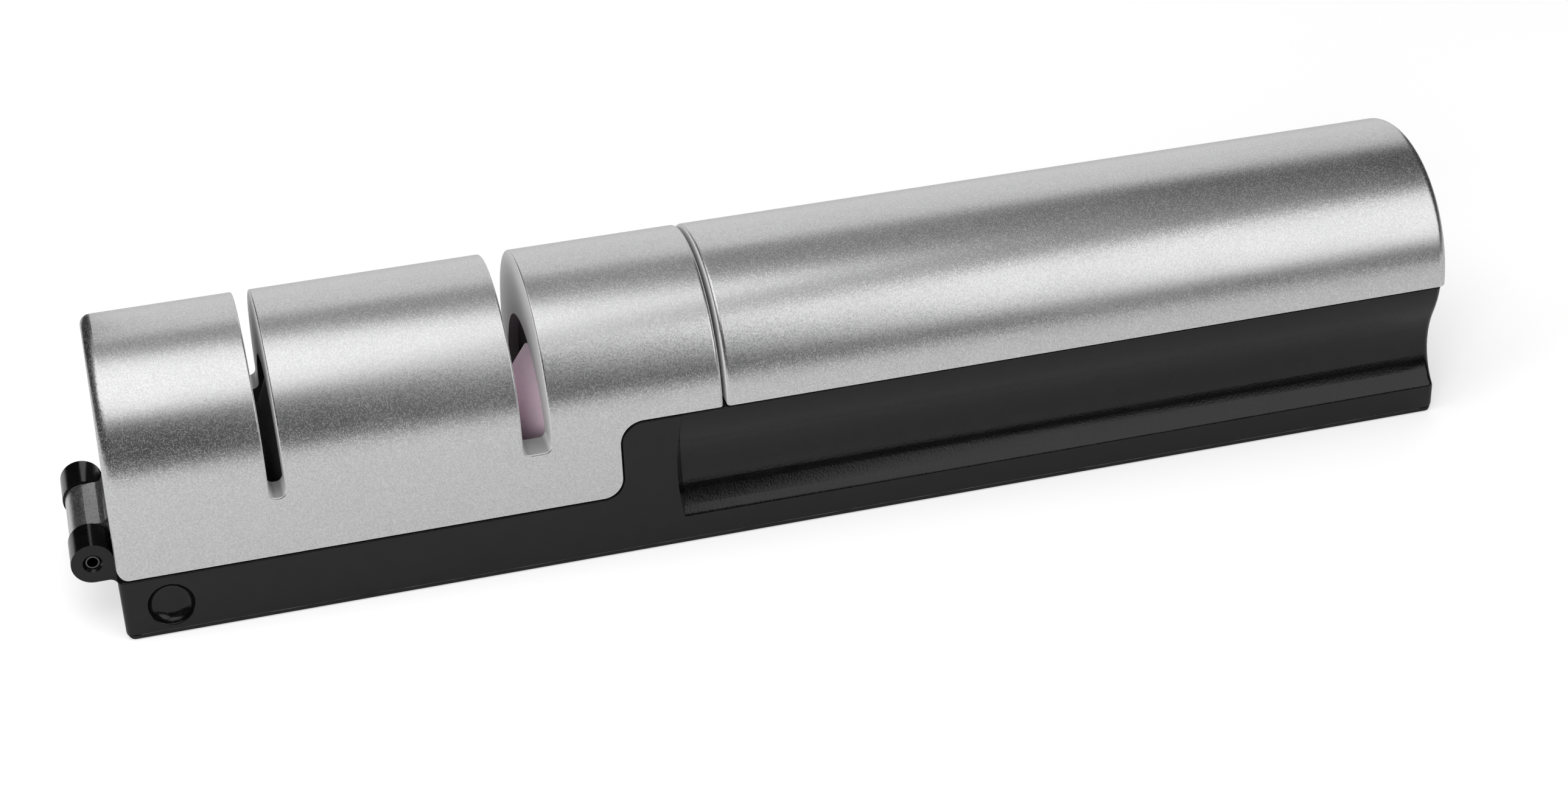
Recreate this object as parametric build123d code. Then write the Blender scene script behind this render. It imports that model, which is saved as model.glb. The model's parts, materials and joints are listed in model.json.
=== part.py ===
from build123d import *
from dataclasses import dataclass
import math
import os

# Two-stage knife sharpener with a hinged front cover over two pairs of V wheels.
# It lies along X, and stands on Z = 0. Places named "along" are measured from the left
# end of the covers, and each finished piece is shifted so that the origin is under the
# middle of the whole part.

# Body
body_length = 215.75
body_width = 40.0
axis_height = 23.2
front_length = 93.8
cover_gap = 0.7
base_end_inset = 0.76
cover_wall = 2.4
cover_end_wall = 2.0
left_end_round = 1.7
left_end_lean = 0.7
right_end_round = 1.5
rim_round = 0.6
overrun = 5.0

# Seam between the covers and the base
seam_gap = 0.3
low_seam_height = 10.45
tail_length = 16.3
step_corner_round = 3.5

# Base
base_wall = 2.4
base_floor = 1.6
base_deck = 2.0
base_step_wall = 2.2
base_corner_round = 1.1
base_toe_round = 1.3
press_gap = 0.01
deck_rim_height = 1.6
deck_rim_wall = 1.4
cover_fit_gap = 0.3

# Bottom plate and foot pads
foot_stand = 0.2
plate_edge = 0.55
plate_seam = 0.2
plate_side_inset = 0.12
plate_thickness = 1.7
plate_fit_gap = 0.2
pad_radius = 5.5
pad_seat = 0.7
pad_side_inset = 11.0
pad_end_inset = 10.75

# Finger groove on each long side of the handle
groove_set_back = 8.29
groove_depth = 3.0
groove_lip_height = 5.0
groove_deep_height = 12.0
groove_hollow_radius = 12.9
groove_brow_radius = 18.2
groove_wall = 2.2
groove_end_radius = 40.0
groove_end_height = 13.0
groove_end_degrees = 24.4

# Round dished recess near the hinge
dish_along = 7.25
dish_height = 5.25
dish_radius = 3.55
dish_floor_radius = 1.75
dish_depth = 1.5

# Hinge
hinge_reach = 3.2
hinge_height = 10.4
knuckle_radius = 3.25
cover_knuckle_radius = 2.9
hinge_width = 26.2
cover_knuckle_width = 12.6
knuckle_side_gap = 0.2
knuckle_relief = 0.35
web_round = 1.2
pin_radius = 1.15
pin_bore_radius = 0.82
pin_running_gap = 0.05
pin_mouth_radius = 1.5
pin_end_inset = 0.5

# Slots, and the arches that let the cover lift off over the wheels
slot_floor_height = 20.45
slot_floor_round = 1.1
slot_rim_round = 0.3
web_wall = 1.6
arch_radius = 15.3
axle_height = 17.2

# Axles, bushes, washers and clips
axle_radius = 2.0
axle_running_gap = 0.05
axle_end_chamfer = 0.3
bush_wall = 1.2
bush_flange_radius = 4.6
bush_flange = 0.8
washer_radius = 4.2
washer_thickness = 0.5
washer_side_gap = 0.1
clip_side_gap = 0.2
clip_thickness = 0.7
clip_radius = 3.6
clip_groove_radius = 1.5
clip_fit_gap = 0.02
clip_mouth_degrees = 100.0
axle_tail = 0.9

# Diamond stage
diamond_spare_share = 0.409
diamond_slot_width = 2.55
diamond_rim_radius = 11.75
diamond_flank_reach = 1.9
diamond_flank_degrees = 25.0
diamond_wheel_width = 5.4

# Ceramic stage
ceramic_step_distance = 12.95
ceramic_slot_width = 4.4
ceramic_rim_radius = 10.35
ceramic_flank_reach = 3.4
ceramic_flank_degrees = 41.0
ceramic_wheel_width = 6.0

# Wheels of both stages
wheel_rim_chamfer = 0.4
wheel_hub_radius = 4.4
wheel_dish_depth = 1.2
wheel_rim_wall = 2.2

# Cradles
cradle_plate = 2.2
cradle_half_width = 14.3
cradle_shoulder_height = 8.6
cradle_head_radius = 5.4
ear_height = 6.2
ear_thickness = 1.4
ear_width = 5.3
cradle_corner_round = 0.8

# Self-tapping screws
screw_radius = 1.3
screw_head_radius = 2.4
screw_head_height = 1.5
plate_screw_head_height = 0.6
screw_thread_gap = 0.02
screw_clearance = 0.25
screw_tip_gap = 0.3
drive_reach_share = 0.45
drive_depth_share = 0.55
cradle_screw_length = 5.0
cover_screw_length = 8.0
plate_screw_length = 7.5
latch_screw_length = 5.0
post_radius = 3.4
cover_screw_side = 9.5
cover_screw_inset = 14.5
plate_screw_side = 11.8
plate_post_cap = 0.9
plate_screw_distance = 9.2

# Latch of the front cover
tongue_thickness = 1.6
tongue_width = 9.0
tongue_low_height = 15.6
bead_radius = 0.6
bead_height = 18.2
well_left_gap = 1.6
well_side_gap = 0.4
well_right_gap = 0.4
well_wall = 1.4
well_floor_height = 13.6
leaf_thickness = 0.5
leaf_width = 8.0
leaf_foot_length = 12.0
leaf_low_height = 15.0
leaf_bend_radius = 0.5
leaf_set_back = 1.35
leaf_nose_radius = 0.9
leaf_cover_gap = 0.35
latch_boss_depth = 4.0

# Derived places
half_width = body_width / 2
low_cover_edge = low_seam_height + seam_gap / 2
high_cover_edge = axis_height + seam_gap / 2
low_base_top = low_seam_height - seam_gap / 2
deck_top = axis_height - seam_gap / 2
deck_under = deck_top - base_deck
handle_start = front_length + cover_gap
base_length = body_length - base_end_inset
plate_top = foot_stand + plate_thickness
plate_seam_low = foot_stand + plate_edge
base_bottom = plate_seam_low + plate_seam
floor_top = plate_top + base_floor
cavity_half_width = half_width - base_wall
step_along = front_length - tail_length
step_base_face = step_along + seam_gap / 2
groove_along = step_base_face + groove_set_back
handle_cavity_start = step_base_face + base_step_wall
handle_cavity_half_width = half_width - groove_depth - groove_wall
side_knuckle_width = (hinge_width - cover_knuckle_width) / 2 - knuckle_side_gap
tongue_start = front_length - cover_end_wall
tongue_face = tongue_start + tongue_thickness
leaf_face = tongue_face + leaf_set_back
leaf_back = leaf_face + leaf_thickness
leaf_top = deck_top + leaf_thickness
well_start = tongue_start - well_left_gap
well_end = leaf_back + well_right_gap
well_half_width = tongue_width / 2 + well_side_gap
notch_half_width = leaf_width / 2 + well_side_gap
plate_screw_seat = foot_stand + pad_seat
plate_screw_tip = plate_screw_seat + plate_screw_length
cradle_screw_seat = ear_height + ear_thickness
ceramic_along = step_along - ceramic_step_distance
axle_overhang = (
    2 * washer_side_gap + washer_thickness + bush_flange
    + cradle_plate + clip_side_gap + clip_thickness + axle_tail
)
diamond_half_length = diamond_wheel_width + axle_overhang
ceramic_half_length = ceramic_wheel_width + axle_overhang
spare_length = ceramic_along - ceramic_half_length - 2 * diamond_half_length - base_wall
diamond_along = base_wall + diamond_spare_share * spare_length + diamond_half_length
middle_along = (body_length - hinge_reach - knuckle_radius) / 2


@dataclass
class Stage:
    """One sharpening stage: a slot in the cover over a pair of V wheels."""

    name: str
    along: float
    slot_width: float
    rim_radius: float
    flank_reach: float
    flank_degrees: float
    wheel_width: float

    @property
    def valley_radius(self):
        return self.rim_radius - self.flank_reach / math.tan(math.radians(self.flank_degrees))

    @property
    def block_start(self):
        return self.along - self.slot_width / 2 - web_wall

    @property
    def block_length(self):
        return self.slot_width + 2 * web_wall

    @property
    def washer_start(self):
        return self.wheel_width + washer_side_gap

    @property
    def flange_start(self):
        return self.washer_start + washer_thickness + washer_side_gap

    @property
    def plate_start(self):
        return self.flange_start + bush_flange

    @property
    def plate_end(self):
        return self.plate_start + cradle_plate

    @property
    def clip_start(self):
        return self.plate_end + clip_side_gap

    @property
    def axle_half_length(self):
        return self.wheel_width + axle_overhang

    @property
    def start(self):
        return self.along - self.axle_half_length

    @property
    def end(self):
        return self.along + self.axle_half_length


diamond = Stage(
    name="diamond",
    along=diamond_along,
    slot_width=diamond_slot_width,
    rim_radius=diamond_rim_radius,
    flank_reach=diamond_flank_reach,
    flank_degrees=diamond_flank_degrees,
    wheel_width=diamond_wheel_width,
)
ceramic = Stage(
    name="ceramic",
    along=ceramic_along,
    slot_width=ceramic_slot_width,
    rim_radius=ceramic_rim_radius,
    flank_reach=ceramic_flank_reach,
    flank_degrees=ceramic_flank_degrees,
    wheel_width=ceramic_wheel_width,
)
stages = (diamond, ceramic)


def box_between(start, end):
    """Box from its lowest to its highest corner."""
    size = Vector(*end) - Vector(*start)
    return Pos(*start) * Box(size.X, size.Y, size.Z, align=(Align.MIN, Align.MIN, Align.MIN))


def rod_along_y(radius, width, along, height, side=0):
    """Round rod parallel to the hinge pin, centred at a side place."""
    return Pos(along, side, height) * Cylinder(radius, width, rotation=(90, 0, 0))


def rod_along_x(radius, start, length, height=axle_height):
    """Round rod along the body, from a start place."""
    align = (Align.CENTER, Align.CENTER, Align.MIN)
    return Pos(start, 0, height) * Cylinder(radius, length, rotation=(0, 90, 0), align=align)


def upright(radius, low, high, along, side=0):
    """Round post between two heights."""
    align = (Align.CENTER, Align.CENTER, Align.MIN)
    return Pos(along, side, low) * Cylinder(radius, high - low, align=align)


def outline(corners):
    """Flat outline in X and Z from (x, z, radius) corners."""
    face = Polygon(*[(x, z) for x, z, radius in corners], align=None)
    for x, z, radius in corners:
        if radius > 0:
            face = fillet(face.vertices().sort_by_distance((x, z, 0))[0], radius)
    return face


def slab(face, width=body_width):
    """Outline in X and Z, made as wide as the body or another width."""
    return extrude(Plane.XZ * face, amount=width / 2, both=True)


def barrel(half, start, length):
    """Straight-sided block with a half-round top, from the ground up."""
    sides = Polyline((-half, axis_height), (-half, 0), (half, 0), (half, axis_height))
    crown = ThreePointArc((half, axis_height), (0, axis_height + half), (-half, axis_height))
    face = make_face((sides + crown).edges())
    return extrude(Plane.YZ.offset(start) * face, amount=length)


def round_end(part, end, radius):
    """Rounds the first or last end of a barrel all round, apart from its flat underside."""
    face = part.faces().sort_by(Axis.X)[end]
    rim = [edge for edge in face.edges() if edge.center().Z > seam_gap]
    return fillet(rim, radius)


def base_outline():
    """Side view of the base: low at the front, stepped up to the handle deck."""
    return outline([
        (0, foot_stand, base_toe_round),
        (0, low_base_top, 0),
        (step_base_face, low_base_top, step_corner_round),
        (step_base_face, deck_top, step_corner_round),
        (base_length, deck_top, 0),
        (base_length, foot_stand, base_toe_round),
    ])


def cover_outline():
    """Side view of the front cover: the base's step, one seam gap away."""
    face = step_along - seam_gap / 2
    top = axis_height + half_width
    return outline([
        (0, low_cover_edge, rim_round),
        (face, low_cover_edge, step_corner_round - seam_gap),
        (face, high_cover_edge, step_corner_round + seam_gap),
        (front_length, high_cover_edge, 0),
        (front_length, top, 0),
        (0, top, 0),
    ])


def screw(length, head_height, points_down=False):
    """Self-tapping screw with a cross drive, its head lying against Z = 0."""
    head = upright(screw_head_radius, -head_height, 0, 0)
    head = chamfer(head.edges().sort_by(Axis.Z)[0], head_height / 4)
    shank = upright(screw_radius, 0, length, 0)
    shank = chamfer(shank.edges().sort_by(Axis.Z)[-1], screw_radius / 2)
    reach = 2 * screw_head_radius * drive_reach_share
    depth = 2 * head_height * drive_depth_share
    drive = Box(reach, reach / 4, depth) + Box(reach / 4, reach, depth)
    body = head + shank - Pos(0, 0, -head_height) * drive
    return Rot(180, 0, 0) * body if points_down else body


def screws(model, places, seat):
    """Copies of a screw at each place, heads against the same seat."""
    return [Pos(along, side, seat) * model for along, side in places]


def groove_cutter(side):
    """Finger groove: a scoop up from a sharp lip, a hollow arc above it and a soft brow."""
    deep_side = half_width - groove_depth
    hollow = (deep_side + groove_hollow_radius, groove_deep_height)
    drop = groove_deep_height - groove_lip_height
    scoop_radius = (groove_depth ** 2 + drop ** 2) / (2 * groove_depth)
    scoop_turn = math.asin(drop / scoop_radius)
    brow_side = half_width - groove_brow_radius
    reach = groove_hollow_radius + groove_brow_radius
    across = hollow[0] - brow_side
    brow_height = hollow[1] + math.sqrt(reach ** 2 - across ** 2)
    turn = math.atan2(brow_height - hollow[1], across)

    def on_hollow(angle):
        return (
            hollow[0] - groove_hollow_radius * math.cos(angle),
            hollow[1] + groove_hollow_radius * math.sin(angle),
        )

    def on_brow(angle):
        return (
            brow_side + groove_brow_radius * math.cos(angle),
            brow_height - groove_brow_radius * math.sin(angle),
        )

    def on_scoop(angle):
        return (
            deep_side + scoop_radius * (1 - math.cos(angle)),
            groove_deep_height - scoop_radius * math.sin(angle),
        )

    lip = (half_width, groove_lip_height)
    out = half_width + overrun
    low = ThreePointArc(lip, on_scoop(scoop_turn / 2), on_scoop(0))
    middle = ThreePointArc(on_hollow(0), on_hollow(turn / 2), on_hollow(turn))
    high = ThreePointArc(on_brow(turn), on_brow(turn / 2), on_brow(0))
    rest = Polyline(on_brow(0), (out, brow_height), (out, groove_lip_height), lip)
    face = make_face((low + middle + high + rest).edges())
    cutter = extrude(Plane.YZ.offset(groove_along - overrun) * face, amount=base_length)
    cutter &= groove_end()
    return cutter if side > 0 else mirror(cutter, about=Plane.XZ)


def groove_end():
    """Room in which a groove is cut: its left end is a slanted arc."""
    slope = math.tan(math.radians(groove_end_degrees))
    height = groove_depth + 2 * overrun
    wide = groove_end_radius + overrun * slope
    centre = groove_along + groove_end_radius
    cone = Cone(wide, wide - height * slope, height, rotation=(90, 0, 0))
    nose = Pos(centre, half_width + overrun - height / 2, groove_end_height) * cone
    rest = box_between((centre, 0, 0), (centre + base_length, body_width, body_width))
    return nose + rest


def knuckle_relief_cut(width, side):
    """Round clearance in one leaf of the hinge for a knuckle of the other leaf."""
    return rod_along_y(knuckle_radius + knuckle_relief, width, -hinge_reach, hinge_height, side)


def side_knuckle_place(side):
    """Middle of a base knuckle across the body."""
    return side * (hinge_width - side_knuckle_width) / 2


def base_knuckle(side):
    """Knuckle of the base with the web that joins it to the base's left end."""
    place = side_knuckle_place(side)
    knuckle = rod_along_y(knuckle_radius, side_knuckle_width, -hinge_reach, hinge_height, place)
    low = hinge_height - knuckle_radius
    web = box_between(
        (-hinge_reach, place - side_knuckle_width / 2, low),
        (base_wall / 2, place + side_knuckle_width / 2, low_base_top),
    )
    return knuckle + web + web_corner(place, side_knuckle_width, low, -1)


def web_corner(place, width, height, way):
    """Soft inner corner between a hinge web and the end wall it comes from."""
    low, high = sorted((height, height + way * web_round))
    half = width / 2
    corner = box_between((-web_round, place - half, low), (base_wall / 2, place + half, high))
    return corner - rod_along_y(web_round, body_width, -web_round, height + way * web_round)


def pin_mouth(side):
    """Countersink at the open end of a base knuckle."""
    depth = pin_mouth_radius - pin_radius
    cone = Cone(pin_radius, pin_mouth_radius, depth, rotation=(-90 * side, 0, 0))
    return Pos(-hinge_reach, side * (hinge_width - depth) / 2, hinge_height) * cone


def on_both_sides(alongs, reach):
    """Pairs of places, one on each side, at each place along the body."""
    return [(along, side * reach) for along in alongs for side in (-1, 1)]


def plate_screw_places():
    """Places of the screws that hold the bottom plate: round the stages and along the handle."""
    ahead = (base_wall + diamond.start) / 2
    between = (diamond.end + ceramic.start) / 2
    first, last = cover_screw_alongs()
    alongs = (ahead, between, first + plate_screw_distance, last - plate_screw_distance)
    return on_both_sides(alongs, plate_screw_side)


def cover_screw_alongs():
    """Places along the body of the screws that hold the handle cover."""
    return handle_start + cover_screw_inset, body_length - cover_screw_inset


def cover_screw_places():
    """Places of the screws that hold the handle cover."""
    return on_both_sides(cover_screw_alongs(), cover_screw_side)


def cradle_screw_places(stage):
    """Places of a cradle's two screws."""
    return on_both_sides([stage.along], cradle_half_width - ear_width / 2)


def pad_places():
    """Places of the foot pads."""
    alongs = (diamond.along, base_length - pad_end_inset)
    return on_both_sides(alongs, half_width - pad_side_inset)


def latch_screw_place():
    """Place of the latch leaf's screw along the body."""
    return leaf_face + leaf_foot_length * 2 / 3


def base_plan(inset=0):
    """Outer form of the base seen from above, from the ground to the deck."""
    length = base_length - 2 * inset
    plan = RectangleRounded(length, body_width - 2 * inset, base_corner_round)
    return extrude(Pos(base_length / 2, 0, 0) * plan, amount=axis_height)


def base_block():
    """Base above its bottom plate, with grooves and rounded right-hand corners."""
    left = base_plan() + box_between((base_length / 2, -half_width, 0), (base_length, half_width, axis_height))
    block = slab(base_outline()) & left
    block -= box_between((-overrun, -body_width, 0), (body_length, body_width, base_bottom))
    block -= groove_cutter(-1) + groove_cutter(1)
    feet = block.faces().sort_by(Axis.X)[-1].edges().filter_by(Axis.Z)
    block = fillet(feet, base_corner_round)
    curves = block.faces().sort_by(Axis.X)[-1].edges().filter_by(GeomType.CIRCLE)
    return fillet(curves, base_corner_round)


def base_body():
    """Black base: front pocket, stepped handle box with grooves, hinge knuckles."""
    base = base_block()
    pocket_end = step_base_face - base_wall / 2
    base -= box_between(
        (base_wall, -cavity_half_width, floor_top),
        (pocket_end, cavity_half_width, deck_under),
    )
    base -= box_between(
        (base_wall, -cavity_half_width, 0),
        (handle_cavity_start, cavity_half_width, plate_top),
    )
    base -= box_between(
        (handle_cavity_start, -handle_cavity_half_width, 0),
        (base_length - base_wall, handle_cavity_half_width, deck_under),
    )
    base += deck_rim()
    for along, side in plate_screw_places():
        top = plate_screw_tip + plate_post_cap if along < step_along else deck_under
        base += upright(post_radius, plate_top, top, along, side)
    for stage in stages:
        for along, side in cradle_screw_places(stage):
            base += upright(ear_width / 2, plate_top, ear_height, along, side)
    base += upright(post_radius, deck_under - latch_boss_depth, deck_under, latch_screw_place())
    base += box_between(
        (well_start - well_wall, -well_half_width - well_wall, well_floor_height - well_wall),
        (well_end + well_wall, well_half_width + well_wall, deck_under),
    )
    for side in (-1, 1):
        base += base_knuckle(side)
    base -= base_holes()
    return base


def deck_rim():
    """Low rim on the deck that centres the handle cover, open where the latch leaf lies."""
    gap = cover_fit_gap
    half = half_width - cover_wall - gap
    start = handle_start + cover_end_wall + gap
    end = body_length - cover_end_wall - gap
    top = deck_top + deck_rim_height
    outer = box_between((start, -half, deck_top), (end, half, top))
    wall = deck_rim_wall
    inner = box_between((start + wall, wall - half, deck_top), (end - wall, half - wall, top))
    way = notch_half_width
    return outer - inner - box_between((start, -way, deck_top), (start + wall, way, top))


def dish_bowl():
    """Round bowl with a flat floor, sunk into the side near the hinge."""
    across = dish_radius - dish_floor_radius
    bend = (across ** 2 + dish_depth ** 2) / (2 * dish_depth)
    half_turn = (math.pi / 2 + math.atan2(bend - dish_depth, across)) / 2
    middle = (
        dish_floor_radius + bend * math.cos(half_turn),
        dish_depth + bend * (math.sin(half_turn) - 1),
    )
    wall = ThreePointArc((dish_radius, 0), middle, (dish_floor_radius, dish_depth))
    floor = Polyline((dish_floor_radius, dish_depth), (0, dish_depth), (0, -overrun))
    mouth = Polyline((0, -overrun), (dish_radius, -overrun), (dish_radius, 0))
    bowl = revolve(make_face((wall + floor + mouth).edges()), Axis.Y)
    return Pos(dish_along, -half_width, dish_height) * bowl


def base_holes():
    """Screw holes, latch well, dish and hinge clearances of the base."""
    holes = dish_bowl()
    thread = screw_radius + screw_thread_gap
    for along, side in plate_screw_places():
        holes += upright(thread, 0, plate_screw_tip + screw_tip_gap, along, side)
    cradle_tip = cradle_screw_seat - cradle_screw_length
    for stage in stages:
        for along, side in cradle_screw_places(stage):
            holes += upright(thread, cradle_tip - screw_tip_gap, ear_height, along, side)
    for along, side in cover_screw_places():
        holes += upright(screw_radius + screw_clearance, deck_under, deck_top, along, side)
    latch_tip = leaf_top - latch_screw_length
    holes += upright(thread, latch_tip - screw_tip_gap, deck_top, latch_screw_place())
    holes += box_between(
        (well_start, -well_half_width, well_floor_height),
        (well_end, well_half_width, deck_top),
    )
    holes += knuckle_relief_cut(cover_knuckle_width + 2 * knuckle_side_gap, 0)
    bore = pin_radius + press_gap
    holes += rod_along_y(bore, hinge_width + overrun, -hinge_reach, hinge_height)
    return holes + pin_mouth(-1) + pin_mouth(1)


def bottom_plate():
    """Plate that closes the base from below, with its edge showing all round."""
    plate = slab(base_outline()) & base_plan(plate_side_inset)
    plate -= box_between((-overrun, -body_width, plate_seam_low), (body_length, body_width, body_width))
    gap = plate_fit_gap
    front = cavity_half_width - gap
    plate += box_between(
        (base_wall + gap, -front, foot_stand),
        (handle_cavity_start - gap, front, plate_top),
    )
    handle = handle_cavity_half_width - gap
    plate += box_between(
        (step_along, -handle, foot_stand),
        (base_length - base_wall - gap, handle, plate_top),
    )
    for along, side in plate_screw_places():
        plate -= upright(screw_radius + screw_clearance, 0, plate_top, along, side)
        plate -= upright(screw_head_radius + screw_clearance, 0, plate_screw_seat, along, side)
    for along, side in pad_places():
        plate -= upright(pad_radius, 0, foot_stand + pad_seat, along, side)
    return plate


def foot_pads():
    """Four soft pads that the sharpener stands on."""
    pads = []
    for along, side in pad_places():
        pad = upright(pad_radius, 0, foot_stand + pad_seat, along, side)
        pads.append(fillet(pad.edges().sort_by(Axis.Z)[0], foot_stand / 2))
    return pads


def lean_cut(start, lean):
    """Wedge that makes a barrel's first end lean back towards its top."""
    face = Polygon(
        (start - overrun, low_cover_edge),
        (start, low_cover_edge),
        (start + lean, axis_height + half_width),
        (start - overrun, axis_height + half_width),
        align=None,
    )
    return slab(face, body_width + overrun)


def cover_shell(start, length, low, first_round, last_round, lean=0):
    """Half-round silver block with rounded ends, above a flat underside."""
    solid = barrel(half_width, start, length)
    if lean > 0:
        foot = box_between((start - overrun, -body_width, 0), (start + length, body_width, low_cover_edge))
        solid -= lean_cut(start, lean) + foot
    solid = round_end(solid, 0, first_round)
    solid = round_end(solid, -1, last_round)
    return solid - box_between((-overrun, -body_width, -overrun), (2 * body_length, body_width, low))


def cover_cavity(start, length):
    """Hollow inside a cover."""
    return barrel(half_width - cover_wall, start + cover_end_wall, length - 2 * cover_end_wall)


def slot_cut(stage):
    """Blade slot with rounded floor corners, right through from front to back."""
    left = stage.along - stage.slot_width / 2
    right = stage.along + stage.slot_width / 2
    top = axis_height + half_width + overrun
    face = outline([
        (left, slot_floor_height, slot_floor_round),
        (right, slot_floor_height, slot_floor_round),
        (right, top, 0),
        (left, top, 0),
    ])
    return slab(face, body_width + overrun)


def slot_rims(cover, stage):
    """Edges along which a slot comes out at the surface of the cover."""
    reach = stage.slot_width / 2 + seam_gap
    nearby = cover.edges().filter_by_position(Axis.X, stage.along - reach, stage.along + reach)
    across = nearby.filter_by(Axis.Y)
    return [edge for edge in nearby if edge not in across]


def arch_cut(stage):
    """Open-bottomed arch through a slot's two webs, over the wheels."""
    start = stage.block_start - seam_gap
    length = stage.block_length + 2 * seam_gap
    below = box_between(
        (start, -arch_radius, 0), (start + length, arch_radius, axle_height)
    )
    return below + rod_along_x(arch_radius, start, length)


def front_cover():
    """Silver front cover with its slots, hinge knuckle and latch tongue."""
    rounds = (left_end_round, rim_round)
    cover = cover_shell(0, front_length, low_cover_edge, *rounds, lean=left_end_lean)
    cover &= slab(cover_outline(), body_width + overrun)
    for stage in stages:
        cover -= slot_cut(stage)
        cover = fillet(slot_rims(cover, stage), slot_rim_round)
    hollow = cover_cavity(0, front_length)
    for stage in stages:
        hollow -= barrel(half_width, stage.block_start, stage.block_length)
    cover -= hollow
    for stage in stages:
        cover -= arch_cut(stage)
    cover -= knuckle_relief_cut(hinge_width + 2 * knuckle_side_gap, 0)
    cover += cover_knuckle()
    cover += latch_tongue()
    bore = pin_radius + pin_running_gap
    return cover - rod_along_y(bore, hinge_width, -hinge_reach, hinge_height)


def cover_knuckle():
    """Middle knuckle with the web that runs up into the cover's left end."""
    half = cover_knuckle_width / 2
    knuckle = rod_along_y(cover_knuckle_radius, cover_knuckle_width, -hinge_reach, hinge_height)
    top = hinge_height + cover_knuckle_radius
    web = box_between((-hinge_reach, -half, low_cover_edge), (cover_end_wall / 2, half, top))
    return knuckle + web + web_corner(0, cover_knuckle_width, top, 1)


def latch_tongue():
    """Tongue under the front cover's right end, with its snap bead."""
    half = tongue_width / 2
    tongue = box_between(
        (tongue_start, -half, tongue_low_height),
        (tongue_face, half, high_cover_edge + cover_end_wall),
    )
    return tongue + rod_along_y(bead_radius, tongue_width, tongue_face, bead_height)


def handle_cover():
    """Silver handle cover with its screw posts."""
    length = body_length - handle_start
    low = high_cover_edge
    cover = cover_shell(handle_start, length, low, rim_round, right_end_round)
    cover -= cover_cavity(handle_start, length)
    roof = barrel(half_width - cover_wall / 2, handle_start, length)
    tip = deck_under + cover_screw_length
    thread = screw_radius + screw_thread_gap
    for along, side in cover_screw_places():
        cover += upright(post_radius, deck_top, axis_height + half_width, along, side) & roof
        cover -= upright(thread, deck_top, tip + screw_tip_gap, along, side)
    return cover - box_between(
        (front_length, -notch_half_width, deck_top),
        (handle_start + 2 * cover_end_wall, notch_half_width, leaf_top + leaf_cover_gap),
    )


def hinge_pin():
    """Hollow pin through all three knuckles."""
    length = hinge_width - 2 * pin_end_inset
    pin = rod_along_y(pin_radius, length, -hinge_reach, hinge_height)
    pin = chamfer(pin.edges().filter_by(GeomType.CIRCLE), (pin_radius - pin_bore_radius) / 3)
    return pin - rod_along_y(pin_bore_radius, body_width, -hinge_reach, hinge_height)


def both_ends(stage, piece):
    """A piece made for the right end of a stage, and its mirror image at the left end."""
    mirrored = mirror(piece, about=Plane.YZ)
    move = Pos(stage.along, 0, 0)
    return [move * mirrored, move * piece]


def wheel(stage):
    """Right-hand wheel of a V pair: rim, sloping flank and a dished back."""
    bore = axle_radius + press_gap
    width = stage.wheel_width
    rim = stage.rim_radius
    chamfer_size = wheel_rim_chamfer
    points = [
        (0, bore),
        (0, stage.valley_radius),
        (stage.flank_reach, rim),
        (width - chamfer_size, rim),
        (width, rim - chamfer_size),
        (width, rim - wheel_rim_wall),
        (width - wheel_dish_depth, rim - wheel_rim_wall - wheel_dish_depth),
        (width - wheel_dish_depth, wheel_hub_radius + wheel_dish_depth),
        (width, wheel_hub_radius),
        (width, bore),
    ]
    face = Plane.XZ * Polygon(*points, align=None)
    return Pos(0, 0, axle_height) * revolve(face, Axis.X)


def axle(stage):
    """Steel axle with chamfered ends and a clip groove near each end."""
    half = stage.axle_half_length
    rod = rod_along_x(axle_radius, stage.along - half, 2 * half)
    rod = chamfer(rod.edges().filter_by(GeomType.CIRCLE), axle_end_chamfer)
    ring = rod_along_x(axle_radius, stage.clip_start, clip_thickness)
    ring -= rod_along_x(clip_groove_radius, stage.clip_start, clip_thickness)
    for cut in both_ends(stage, ring):
        rod -= cut
    return rod


def bush(stage):
    """Right-hand flanged bush of a stage."""
    sleeve = rod_along_x(axle_radius + bush_wall, stage.plate_start, cradle_plate)
    flange = rod_along_x(bush_flange_radius, stage.flange_start, bush_flange)
    bore = rod_along_x(axle_radius + axle_running_gap, 0, stage.plate_end + overrun)
    return sleeve + flange - bore


def washer(stage):
    """Right-hand thrust washer between a wheel and its bush."""
    ring = rod_along_x(washer_radius, stage.washer_start, washer_thickness)
    return ring - rod_along_x(axle_radius + axle_running_gap, 0, stage.plate_end)


def clip(stage):
    """Right-hand retaining clip in the axle's groove, open on one side."""
    side_gap = clip_fit_gap
    start = stage.clip_start + side_gap
    length = clip_thickness - 2 * side_gap
    ring = rod_along_x(clip_radius, start, length)
    ring -= rod_along_x(clip_groove_radius + side_gap, start, length)
    reach = 2 * clip_radius
    spread = reach * math.tan(math.radians(clip_mouth_degrees / 2))
    mouth = Polygon((0, 0), (spread, -reach), (-spread, -reach), align=None)
    wedge = extrude(Plane.YZ.offset(start) * mouth, amount=length)
    return ring - Pos(0, 0, axle_height) * wedge


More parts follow.
